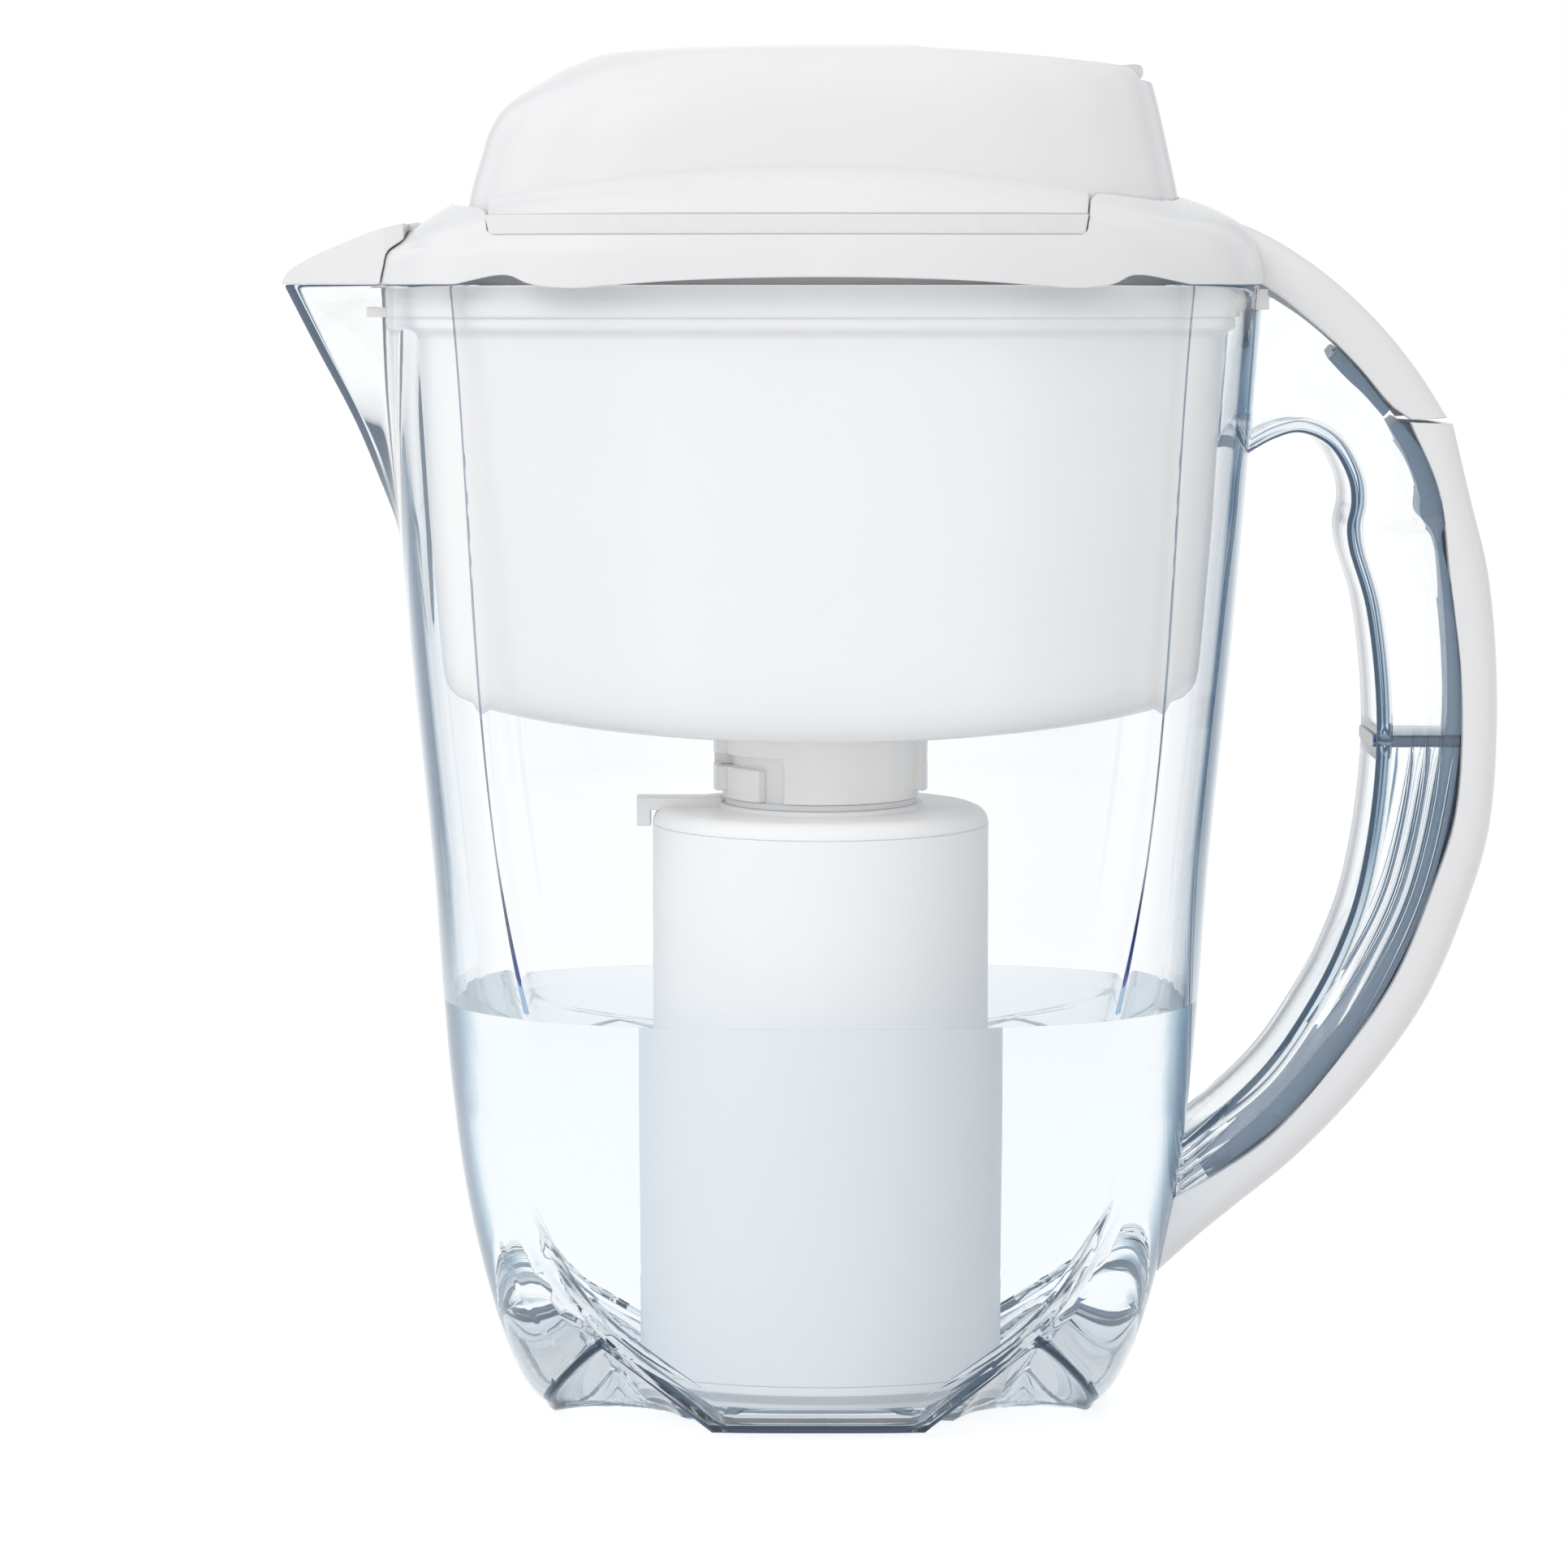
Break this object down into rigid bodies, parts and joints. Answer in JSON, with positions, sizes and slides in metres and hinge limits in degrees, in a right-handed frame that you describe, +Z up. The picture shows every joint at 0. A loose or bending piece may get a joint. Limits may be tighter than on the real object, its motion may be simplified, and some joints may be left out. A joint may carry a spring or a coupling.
{
  "type": "water filter pitcher",
  "caption": "Clear pitcher with spout and handle, hanging reservoir with bayonet filter cartridge, and a domed lift-off lid with flip fill flap and spout flap.",
  "frame": {"origin": "on the surface the pitcher stands on, under the middle of its overall length and depth", "axes": "+Z up, +X from the spout towards the handle, +Y towards the back as seen with the spout on the left"},
  "size_m": [0.235, 0.106, 0.2623],
  "materials": {
    "clear_plastic": "clear, faintly blue, polished moulding",
    "white_plastic": "glossy white",
    "tank_plastic": "glossy white",
    "cartridge_plastic": "satin white",
    "seal_rubber": "matt silicone",
    "fleece": "felted",
    "carbon": "granular",
    "pin_plastic": "satin white"
  },
  "bodies": {
    "jug": {"jug": "clear_plastic", "handle_grip": "clear_plastic", "handle_cover": "white_plastic"},
    "reservoir": {"reservoir": "tank_plastic", "filter_socket": "tank_plastic"},
    "cartridge": {"cartridge_shell": "cartridge_plastic", "cartridge_cap": "cartridge_plastic", "cartridge_base": "cartridge_plastic", "neck_seal": "seal_rubber", "inlet_screen": "cartridge_plastic", "upper_fleece": "fleece", "filter_bed": "carbon", "lower_fleece": "fleece"},
    "lid": {"lid_ring": "white_plastic", "handle_cap": "white_plastic", "lid_liner": "white_plastic", "lid_dome": "white_plastic", "fill_flap_pin": "pin_plastic", "spout_flap_pin": "pin_plastic"},
    "fill_flap": {"fill_flap": "white_plastic"},
    "spout_flap": {"spout_flap": "white_plastic"}
  },
  "joints": [
    {"name": "reservoir_lift", "type": "slide", "parent": "jug", "child": "reservoir", "axis": [0, 0, 1], "range_m": [0, 0.215]},
    {"name": "lid_lift", "type": "slide", "parent": "reservoir", "child": "lid", "axis": [0, 0, 1], "range_m": [0, 0.06]},
    {"name": "cartridge_turn", "type": "hinge", "parent": "reservoir", "child": "cartridge", "pos_m": [-0.0134, 0, 0.124], "axis": [0, 0, 1], "range_deg": [0, 60]},
    {"name": "fill_flap_hinge", "type": "hinge", "parent": "lid", "child": "fill_flap", "pos_m": [0.0081, 0, 0.25921], "axis": [0, -1, 0], "range_deg": [0, 95]},
    {"name": "spout_flap_hinge", "type": "hinge", "parent": "lid", "child": "spout_flap", "pos_m": [-0.0906, 0, 0.2271], "axis": [0, 1, 0], "range_deg": [0, 45]}
  ]
}
